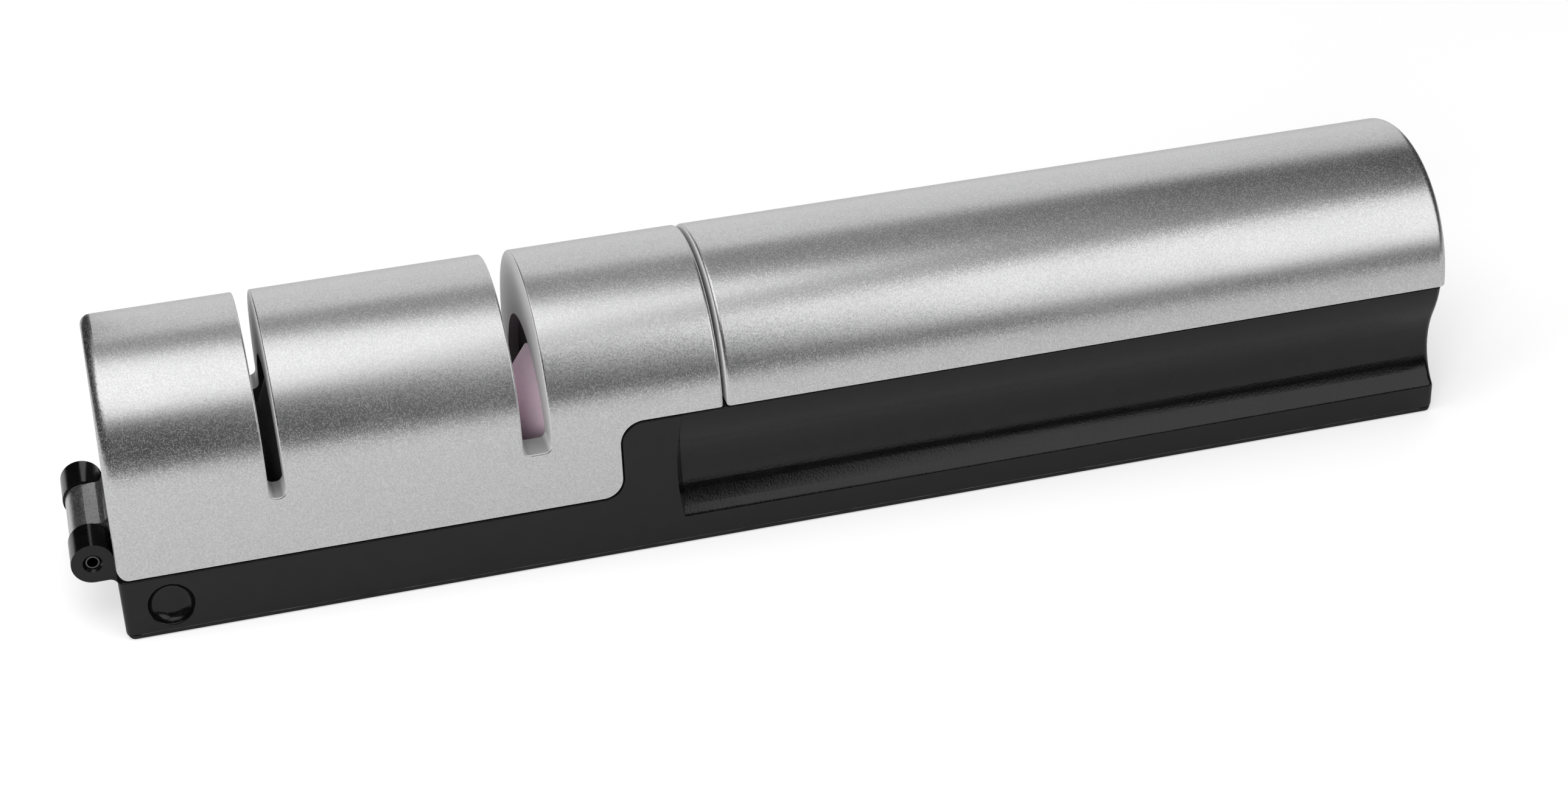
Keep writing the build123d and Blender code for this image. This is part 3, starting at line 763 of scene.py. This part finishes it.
@dataclass(frozen=True)
class Abrasive(Finish):
    """Sharpening surface with coarse grit or a fine ceramic grain.

    Attributes:
        grit_scale: how fine the grit is.
        grit_depth: how deep it is.
        grit_strength: how strongly its depth shows.
        contrast: how far its grains' colours vary.
        gloss_width: how much glossier the tops are than the mean, and duller the hollows.
    """

    grit_scale: float = 4500.0
    grit_depth: float = 0.00006
    grit_strength: float = 0.6
    contrast: float = 0.3
    gloss_width: float = 0.08

    def detail(self, sheet: NodeSheet, shader: Node, effects: SharedEffects) -> None:
        """Adds the grit to colour, height and gloss.

        Args:
            sheet: the material's node sheet.
            shader: its Principled shader.
            effects: the shared shader groups.
        """
        grit = effects.place(sheet, effects.grain, Scale=self.grit_scale)
        shade = grit.outputs["Shade"]
        dark, light = self.shaded(1 - self.contrast), self.shaded(1 + self.contrast)
        sheet.feed(sheet.blend(shade, dark, light), shader, "Base Color")
        gloss = sheet.spread(shade, (0.0, 1.0), self.gloss_span(-self.gloss_width))
        sheet.feed(gloss, shader, "Roughness")
        bumped = sheet.bump(grit.outputs["Height"], self.grit_strength, self.grit_depth)
        sheet.feed(bumped, shader, "Normal")


SILVER_PAINT = FlakePaint("silver_paint", (0.595, 0.595, 0.597), 0.305, metallic=1.0)
BLACK_BODY = MouldedPlastic(
    "black_body",
    (0.0012, 0.0012, 0.0013),
    0.15,
    specular=0.37,
    grain_scale=2800.0,
    grain_depth=0.00003,
    grain_strength=0.9,
    dark_share=0.1,
    light_share=4.0,
    unevenness=0.03,
)
# The seam bead's shape is real; its grey, far lighter than the black body, is a painted
# highlight along the seam.
FLASH_PAINTED_HIGHLIGHT = MouldedPlastic("flash_painted_highlight", (0.05, 0.05, 0.051), 0.3, grain_strength=0.6)
BLACK_FRAME = MouldedPlastic(
    "black_frame", (0.006, 0.006, 0.0063), 0.5, specular=0.3, grain_strength=0.4
)
PAD_RUBBER = MouldedPlastic("pad", (0.035, 0.035, 0.035), 0.75, grain_strength=0.5)
ACETAL = MouldedPlastic("bush", (0.72, 0.7, 0.64), 0.38, grain_strength=0.15)
PIN_STEEL = TurnedMetal("pin_steel", (0.10, 0.10, 0.103), 0.34)
STEEL = TurnedMetal("steel", (0.52, 0.52, 0.53), 0.28)
SCREW_STEEL = TurnedMetal("screw", (0.42, 0.42, 0.43), 0.34)
SPRING_STEEL = TurnedMetal("spring_steel", (0.48, 0.48, 0.5), 0.3)
DIAMOND_GRIT = Abrasive("diamond_grit", (0.15, 0.15, 0.155), 0.5, metallic=0.5)
PINK_CERAMIC = Abrasive(
    "pink_ceramic",
    (0.98, 0.77, 0.89),
    0.55,
    grit_scale=5200.0,
    grit_depth=0.00002,
    contrast=0.06,
)


class Workshop:
    """The loaded frame, the finishes, and the ways to dress pieces with them."""

    def __init__(self) -> None:
        """Loads the frame, keeps its box, and makes the shared effects."""
        self.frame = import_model()
        self.cad_box = [list(corner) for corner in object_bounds()]
        bpy.ops.object.select_all(action="DESELECT")
        self.effects = SharedEffects()
        self.made: dict[str, bpy.types.Material] = {}

    def material(self, finish: Finish) -> bpy.types.Material:
        """Gives a finish's material, made the first time it is asked for.

        Args:
            finish: the finish.

        Returns:
            Its material.
        """
        if finish.name not in self.made:
            self.made[finish.name] = finish.material(self.effects)
        return self.made[finish.name]

    def dress(self, node: str, finish: Finish) -> None:
        """Gives a CAD node its finish.

        Args:
            node: the node's name.
            finish: its finish.
        """
        piece = self.frame["nodes"][node]
        piece.data.materials.clear()
        piece.data.materials.append(self.material(finish))
        LOG.info("%s: %s", node, finish.name)

    def copy_of(self, node: str, name: str) -> bpy.types.Object:
        """Copies a CAD node's mesh into a new piece, its doubles merged and its flats joined.

        Args:
            node: the node's name.
            name: the new piece's name.

        Returns:
            The new piece, active and alone in the selection.
        """
        piece = bpy.data.objects.new(name, self.frame["nodes"][node].data.copy())
        bpy.context.scene.collection.objects.link(piece)
        self.hold(piece)
        bpy.ops.mesh.customdata_custom_splitnormals_clear()
        bpy.ops.object.mode_set(mode="EDIT")
        bpy.ops.mesh.select_mode(type="EDGE")
        bpy.ops.mesh.select_all(action="SELECT")
        bpy.ops.mesh.remove_doubles(threshold=MERGE_DISTANCE)
        bpy.ops.mesh.dissolve_limited(angle_limit=FLAT_ANGLE)
        bpy.ops.mesh.select_all(action="DESELECT")
        bpy.ops.object.mode_set(mode="OBJECT")
        return piece

    @staticmethod
    def hold(piece: bpy.types.Object) -> None:
        """Makes a piece active and alone in the selection.

        Args:
            piece: the piece.
        """
        bpy.ops.object.select_all(action="DESELECT")
        bpy.context.view_layer.objects.active = piece
        piece.select_set(True)

    def finish_piece(
        self, piece: bpy.types.Object, finish: Finish, body: str, slot: str, *replaced: str
    ) -> None:
        """Gives a new piece its finish and its body, and hides the nodes that it stands for.

        Args:
            piece: the piece.
            finish: its finish.
            body: the body that it rides on.
            slot: not used.
            *replaced: the CAD nodes that it replaces, if any.
        """
        piece.data.materials.clear()
        piece.data.materials.append(self.material(finish))
        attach(piece, body)
        if replaced:
            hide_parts(*replaced)
        LOG.info("%s: %s, rides on %s", piece.name, finish.name, body)


@dataclass
class Covers:
    """The front cover and the handle cover.

    Attributes:
        finish: what both are painted with.
    """

    finish: Finish = SILVER_PAINT

    def build(self, shop: Workshop) -> None:
        """Dresses both covers."""
        for node in ("front_cover", "handle_cover"):
            shop.dress(node, self.finish)


@dataclass
class Base:
    """The base with softened outer edges, its plate, pads and screws, and its seam's flash.

    Attributes:
        edge_width: how far the rounding reaches from an outer edge.
        edge_segments: how many faces it has.
        edge_angle: the least angle between two faces that is rounded.
        smooth_angle: the largest angle between two faces that shade as one.
        outer_share: the share of the half width beyond which an edge is an outer one.
        nose: where the grooves' slanted noses start and end along the body.
        nose_top: how high an edge over a nose is to belong to the deck.
        nose_end: how far along the body the noses' edges stay sharp.
        nose_flat: how little the face beside such an edge leans along the body.
        nose_slant: how much the face on its other side does.
        body_ends: where the long sides start and end along the body.
        strips: how many strips these are cut into, so that they shade evenly.
        seam_top: how high the bottom plate's seam reaches.
        flash_radius: how far the bead's surface may lie from its middle line.
        flash_sides: how many sides it has.
        flash_inset: how far inside the base's side the middle line lies.
        flash_height: how high it lies.
        flash_cuts: how many times the bead is cut along its length.
        flash_wander: how far its points wander.
        flash_seed: what the wander starts from, before the side's sign is added.
    """

    edge_width: float = 0.2 * MM
    edge_segments: int = 4
    edge_angle: float = math.radians(30.0)
    smooth_angle: float = math.radians(28.0)
    outer_share: float = 0.96
    nose: Span = (-19.5 * MM, -16.2 * MM)
    nose_top: float = 22.9 * MM
    nose_end: float = -10.0 * MM
    nose_flat: float = 0.02
    nose_slant: float = 0.05
    body_ends: Span = (-102.5 * MM, 108.0 * MM)
    strips: int = 50
    seam_top: float = 1.4 * MM
    flash_radius: float = 0.1 * MM
    flash_sides: int = 8
    flash_inset: float = 0.11 * MM
    flash_height: float = 0.86 * MM
    flash_cuts: int = 260
    flash_wander: float = 0.045 * MM
    flash_seed: int = 260

    def build(self, shop: Workshop) -> None:
        """Softens the base's edges, adds the flash, and dresses what is under the base.

        Args:
            shop: the workshop.
        """
        self._soften(shop)
        self._flash(shop, Side.FRONT, "seam_flash_front")
        self._flash(shop, Side.BACK, "seam_flash_back")
        shop.dress("bottom_plate", BLACK_BODY)
        shop.dress("foot_pads", PAD_RUBBER)
        shop.dress("bottom_plate_screws", SCREW_STEEL)
        shop.dress("handle_cover_screws", SCREW_STEEL)

    def _softened(self, start: Vector, end: Vector, half_width: float) -> bool:
        """Whether an edge is an outer one that the mould leaves slightly round.

        Args:
            start: one end of the edge.
            end: its other end.
            half_width: half the base's width.

        Returns:
            True for the edges of the two long sides, apart from the noses and the seam.
        """
        ends = (start, end)
        outer = all(abs(point.y) > self.outer_share * half_width for point in ends)
        nose = all(self.nose[0] < point.x < self.nose[1] for point in ends)
        deck = all(point.z > self.nose_top for point in ends)
        seam = all(point.z < self.seam_top for point in ends)
        return outer and (deck or not nose) and not seam

    def _mark_edges(self, shape: bmesh.types.BMesh, half_width: float) -> None:
        """Selects the edges to round, and marks the noses' own edges as sharp.

        Args:
            shape: the base's mesh in edit mode.
            half_width: half the base's width.
        """
        for edge in shape.edges:
            start, end = (vert.co for vert in edge.verts)
            paired = len(edge.link_faces) == 2
            sharp = paired and edge.calc_face_angle() > self.edge_angle
            edge.select_set(sharp and self._softened(start, end, half_width))
            if paired and all(self.nose[0] < point.x < self.nose_end for point in (start, end)):
                flatter, steeper = sorted(abs(face.normal.x) for face in edge.link_faces)
                edge.smooth = not (flatter < self.nose_flat and steeper > self.nose_slant)

    def _cut_strips(self, shape: bmesh.types.BMesh) -> None:
        """Cuts the long sides across, so that no face is a long sliver.

        Args:
            shape: the base's mesh in edit mode.
        """
        start, end = self.body_ends
        for step in range(1, self.strips):
            where = start + (end - start) * step / self.strips
            bmesh.ops.bisect_plane(
                shape,
                geom=shape.verts[:] + shape.edges[:] + shape.faces[:],
                dist=MERGE_DISTANCE,
                plane_co=(where, 0.0, 0.0),
                plane_no=(1.0, 0.0, 0.0),
            )

    def _soften(self, shop: Workshop) -> None:
        """Rounds the base's outer edges on a copy that stands for the CAD node.

        Args:
            shop: the workshop.
        """
        half_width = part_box("base_body")[1][1]
        piece = shop.copy_of("base_body", "softened_base")
        bpy.ops.object.mode_set(mode="EDIT")
        self._mark_edges(bmesh.from_edit_mesh(piece.data), half_width)
        bmesh.update_edit_mesh(piece.data)
        bpy.ops.mesh.bevel(
            offset=self.edge_width,
            segments=self.edge_segments,
            affect="EDGES",
            clamp_overlap=False,
        )
        shape = bmesh.from_edit_mesh(piece.data)
        self._cut_strips(shape)
        for vert in shape.verts:
            vert.co.y = max(-half_width, min(half_width, vert.co.y))
        bmesh.update_edit_mesh(piece.data)
        bpy.ops.object.mode_set(mode="OBJECT")
        bpy.ops.object.shade_smooth_by_angle(angle=self.smooth_angle)
        shop.finish_piece(piece, BLACK_BODY, "base", "black_body", "base_body")

    def _flash(self, shop: Workshop, side: Side, name: str) -> None:
        """Adds the thin uneven bead that the mould leaves along the plate's seam, coloured
        lighter than the base as a painted highlight.

        Args:
            shop: the workshop.
            side: the side that it runs along.
            name: the bead's name.
        """
        half_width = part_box("base_body")[1][1]
        start, end = self.body_ends
        middle_y = side.value * (half_width - self.flash_inset)
        bpy.ops.object.select_all(action="DESELECT")
        bpy.ops.mesh.primitive_cylinder_add(
            vertices=self.flash_sides,
            radius=self.flash_radius - self.flash_wander,
            depth=end - start,
            location=((start + end) / 2, middle_y, self.flash_height),
            rotation=(0.0, math.pi / 2, 0.0),
        )
        bead = bpy.context.active_object
        bead.name = name
        bpy.ops.object.transform_apply(location=True, rotation=True, scale=True)
        bpy.ops.object.mode_set(mode="EDIT")
        shape = bmesh.from_edit_mesh(bead.data)
        for edge in shape.edges:
            along = abs(edge.verts[0].co.x - edge.verts[1].co.x)
            edge.select_set(along > (end - start) / 2)
        bmesh.update_edit_mesh(bead.data)
        bpy.ops.mesh.subdivide(number_cuts=self.flash_cuts)
        bpy.ops.mesh.select_all(action="SELECT")
        bpy.ops.transform.vertex_random(
            offset=self.flash_wander, seed=self.flash_seed + side.value
        )
        bpy.ops.object.mode_set(mode="OBJECT")
        bpy.ops.object.shade_smooth_by_angle(angle=self.smooth_angle)
        shop.finish_piece(bead, FLASH_PAINTED_HIGHLIGHT, "base", "black_body")


@dataclass
class Hinge:
    """The hinge pin, and the latch at the front cover's other end.

    Attributes:
        pin_finish: the pin's finish.
        leaf_finish: the latch leaf's finish.
        screw_finish: its screw's finish.
    """

    pin_finish: Finish = PIN_STEEL
    leaf_finish: Finish = SPRING_STEEL
    screw_finish: Finish = SCREW_STEEL

    def build(self, shop: Workshop) -> None:
        """Dresses the pin and the latch.

        Args:
            shop: the workshop.
        """
        shop.dress("hinge_pin", self.pin_finish)
        shop.dress("latch_spring", self.leaf_finish)
        shop.dress("latch_screw", self.screw_finish)


@dataclass
class Stage:
    """One pair of wheels with its axle and cradle.

    Attributes:
        name: how its nodes' names begin.
        wheel_finish: the wheels' finish.
    """

    name: str
    wheel_finish: Finish

    def build(self, shop: Workshop) -> None:
        """Dresses every piece of the stage.

        Args:
            shop: the workshop.
        """
        for side in ("left", "right"):
            shop.dress(f"{self.name}_wheel_{side}", self.wheel_finish)
            shop.dress(f"{self.name}_bush_{side}", ACETAL)
        for piece in ("axle", "washers", "clips"):
            shop.dress(f"{self.name}_{piece}", STEEL)
        shop.dress(f"{self.name}_cradle", BLACK_FRAME)


@dataclass
class Softbox:
    """A soft rectangular lamp.

    Attributes:
        name: its name.
        place: where it hangs.
        aim: the point that it faces.
        width: its width.
        height: its height.
        radiance: how bright its face is, where 1 is white.
        mirrored: whether reflections show it, or it is only a fill.
    """

    name: str
    place: Point
    aim: Point
    width: float
    height: float
    radiance: float
    mirrored: bool = True

    def build(self) -> None:
        """Adds the lamp, which the camera itself doesn't see."""
        data = bpy.data.lights.new(self.name, "AREA")
        data.shape = "RECTANGLE"
        data.size, data.size_y = self.width, self.height
        data.energy = self.radiance * math.pi * self.width * self.height
        lamp = bpy.data.objects.new(self.name, data)
        bpy.context.scene.collection.objects.link(lamp)
        towards = Vector(self.aim) - Vector(self.place)
        lamp.location = self.place
        lamp.rotation_euler = towards.to_track_quat("-Z", "Y").to_euler()
        lamp.visible_camera = False
        lamp.visible_glossy = self.mirrored


@dataclass
class DarkCard:
    """An upright dark card that only reflections show, as is held behind shiny parts.

    Attributes:
        place: where its middle is.
        width: its width.
        height: its height.
        colour: its colour.
        unseen_by: the kinds of ray that pass it.
    """

    place: Point = (-0.1495, 0.085, 0.075)
    width: float = 0.087
    height: float = 0.110
    colour: Colour = (0.005, 0.005, 0.005)
    unseen_by: tuple[str, ...] = (
        "camera", "diffuse", "shadow", "transmission", "volume_scatter"
    )

    def build(self) -> None:
        """Adds the card, hidden from the camera, and without a shadow."""
        bpy.ops.mesh.primitive_plane_add(
            size=1.0, location=self.place, rotation=(math.pi / 2, 0.0, 0.0)
        )
        card = bpy.context.active_object
        card.name = "dark_card"
        card.scale = (self.width, self.height, 1.0)
        made = bpy.data.materials.new("dark_card")
        made.use_nodes = True
        sheet = NodeSheet(made.node_tree)
        shader = made.node_tree.nodes["Principled BSDF"]
        sheet.feed((*self.colour, 1.0), shader, "Base Color")
        sheet.feed(0.0, shader, "Specular IOR Level")
        card.data.materials.append(made)
        card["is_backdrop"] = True
        for ray in self.unseen_by:
            setattr(card, f"visible_{ray}", False)


@dataclass
class Studio:
    """The plain pale floor, the soft lamps, the dark card and the world.

    Attributes:
        floor_size: the floor's width.
        floor_colour: its colour.
        floor_roughness: how dull it is.
        floor_specular: how strongly it mirrors.
        floor_lift: how much lighter it looks to the camera.
        floor_gloss_lift: how much lighter it looks in reflections.
        world_diffuse: how bright the world is for soft light.
        world_gloss: how bright it is in reflections.
        lamps: the lamps.
        dark_card: the card.
    """

    floor_size: float = 6.0
    floor_colour: Colour = (0.625, 0.625, 0.625)
    floor_roughness: float = 0.9
    floor_specular: float = 0.1
    floor_lift: float = 0.385
    floor_gloss_lift: float = 0.05
    world_diffuse: float = 0.38
    world_gloss: float = 0.04
    lamps: list[Softbox] = field(default_factory=lambda: [
        Softbox(
            "top_lamp", place=(-0.13, -0.10, 0.42), aim=(-0.10, -0.06, 0.0),
            width=0.40, height=0.36, radiance=1.25,
        ),
        Softbox(
            "top_glow", place=(-0.13, -0.04, 0.60), aim=(-0.10, -0.03, 0.0),
            width=0.95, height=0.95, radiance=0.22,
        ),
        Softbox(
            "side_lamp", place=(0.42, -0.57, 0.51), aim=(0.03, 0.0, 0.02),
            width=0.60, height=0.62, radiance=1.42,
        ),
        Softbox(
            "back_lamp", place=(0.18, 0.80, 0.50), aim=(0.02, 0.0, 0.32),
            width=1.15, height=1.00, radiance=0.82,
        ),
        Softbox(
            "left_fill", place=(-0.95, -0.15, 0.60), aim=(-0.10, 0.0, 0.02),
            width=0.80, height=0.70, radiance=1.8, mirrored=False,
        ),
        Softbox(
            "front_fill", place=(-0.45, -0.85, 0.36), aim=(-0.06, 0.0, 0.02),
            width=0.50, height=0.40, radiance=10.5, mirrored=False,
        ),
    ])
    dark_card: DarkCard = field(default_factory=DarkCard)

    def build(self) -> None:
        """Adds the floor, the lamps, the card and the world."""
        self._floor()
        for lamp in self.lamps:
            lamp.build()
        self.dark_card.build()
        self._world()

    def _floor(self) -> None:
        """Adds the floor, lifted towards white where the camera sees it."""
        bpy.ops.mesh.primitive_plane_add(size=self.floor_size)
        floor = bpy.context.active_object
        floor.name = "floor"
        made = bpy.data.materials.new("floor")
        made.use_nodes = True
        sheet = NodeSheet(made.node_tree)
        shader = made.node_tree.nodes["Principled BSDF"]
        sheet.feed((*self.floor_colour, 1.0), shader, "Base Color")
        sheet.feed(self.floor_roughness, shader, "Roughness")
        sheet.feed(self.floor_specular, shader, "Specular IOR Level")
        sheet.feed(WHITE, shader, "Emission Color")
        path = sheet.add("ShaderNodeLightPath").outputs
        seen = sheet.math("MULTIPLY", path["Is Camera Ray"], self.floor_lift)
        mirrored = sheet.math("MULTIPLY", path["Is Glossy Ray"], self.floor_gloss_lift)
        sheet.feed(sheet.math("ADD", seen, mirrored), shader, "Emission Strength")
        floor.data.materials.append(made)
        floor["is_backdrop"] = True

    def _world(self) -> None:
        """Sets a plain world: white to the camera, and pale grey light on the object."""
        world = bpy.data.worlds.new("studio")
        bpy.context.scene.world = world
        world.use_nodes = True
        sheet = NodeSheet(world.node_tree)
        background = world.node_tree.nodes["Background"]
        path = sheet.add("ShaderNodeLightPath").outputs
        levels = (self.world_diffuse, self.world_gloss)
        light = sheet.spread(path["Is Glossy Ray"], (0.0, 1.0), levels)
        seen = sheet.add("ShaderNodeMix", data_type="FLOAT")
        sheet.feed(path["Is Camera Ray"], seen, 0)
        for value, socket in zip((light, 1.0), MIX_VALUES):
            sheet.feed(value, seen, socket)
        sheet.feed(seen.outputs[0], background, "Strength")
        sheet.feed(WHITE, background, "Color")


@dataclass
class Camera:
    """The camera, as fitted to the photograph's seams, slots and round ends.

    Attributes:
        place: where it stands.
        yaw: how far it is turned from +Y towards +X.
        pitch: how far it looks down.
        roll: how far it is turned round its own line of sight.
        lens: its focal length in millimetres.
        sensor_width: its sensor's width in millimetres.
        clip: the nearest and farthest distance that it sees.
    """

    place: Point = (-0.099526, -0.397148, 0.243950)
    yaw: float = 0.254932
    pitch: float = 0.516047
    roll: float = -0.038200
    lens: float = 66.612
    sensor_width: float = 36.0
    clip: Span = (0.01, 50.0)

    def build(self) -> None:
        """Adds the camera and makes it the scene's own."""
        data = bpy.data.cameras.new("photo_camera")
        data.sensor_fit = "HORIZONTAL"
        data.sensor_width = self.sensor_width
        data.lens = self.lens
        data.clip_start, data.clip_end = self.clip
        camera = bpy.data.objects.new("photo_camera", data)
        bpy.context.scene.collection.objects.link(camera)
        sin_yaw, cos_yaw = math.sin(self.yaw), math.cos(self.yaw)
        flat = math.cos(self.pitch)
        ahead = Vector((sin_yaw * flat, cos_yaw * flat, -math.sin(self.pitch)))
        level = Vector((cos_yaw, -sin_yaw, 0.0))
        upright = level.cross(ahead)
        right = level * math.cos(self.roll) + upright * math.sin(self.roll)
        up = upright * math.cos(self.roll) - level * math.sin(self.roll)
        turn = Matrix((right, up, -ahead)).transposed().to_4x4()
        camera.matrix_world = Matrix.Translation(self.place) @ turn
        bpy.context.scene.camera = camera


def main() -> None:
    """Builds the sharpener's looks, the studio and the camera."""
    logging.basicConfig(level=logging.INFO, format="%(name)s: %(message)s")
    bpy.context.scene.view_settings.view_transform = "Standard"
    shop = Workshop()
    Camera().build()
    Studio().build()
    parts = (
        Covers(),
        Base(),
        Hinge(),
        Stage("diamond", DIAMOND_GRIT),
        Stage("ceramic", PINK_CERAMIC),
    )
    for part in parts:
        part.build(shop)


if __name__ == "__main__":
    main()
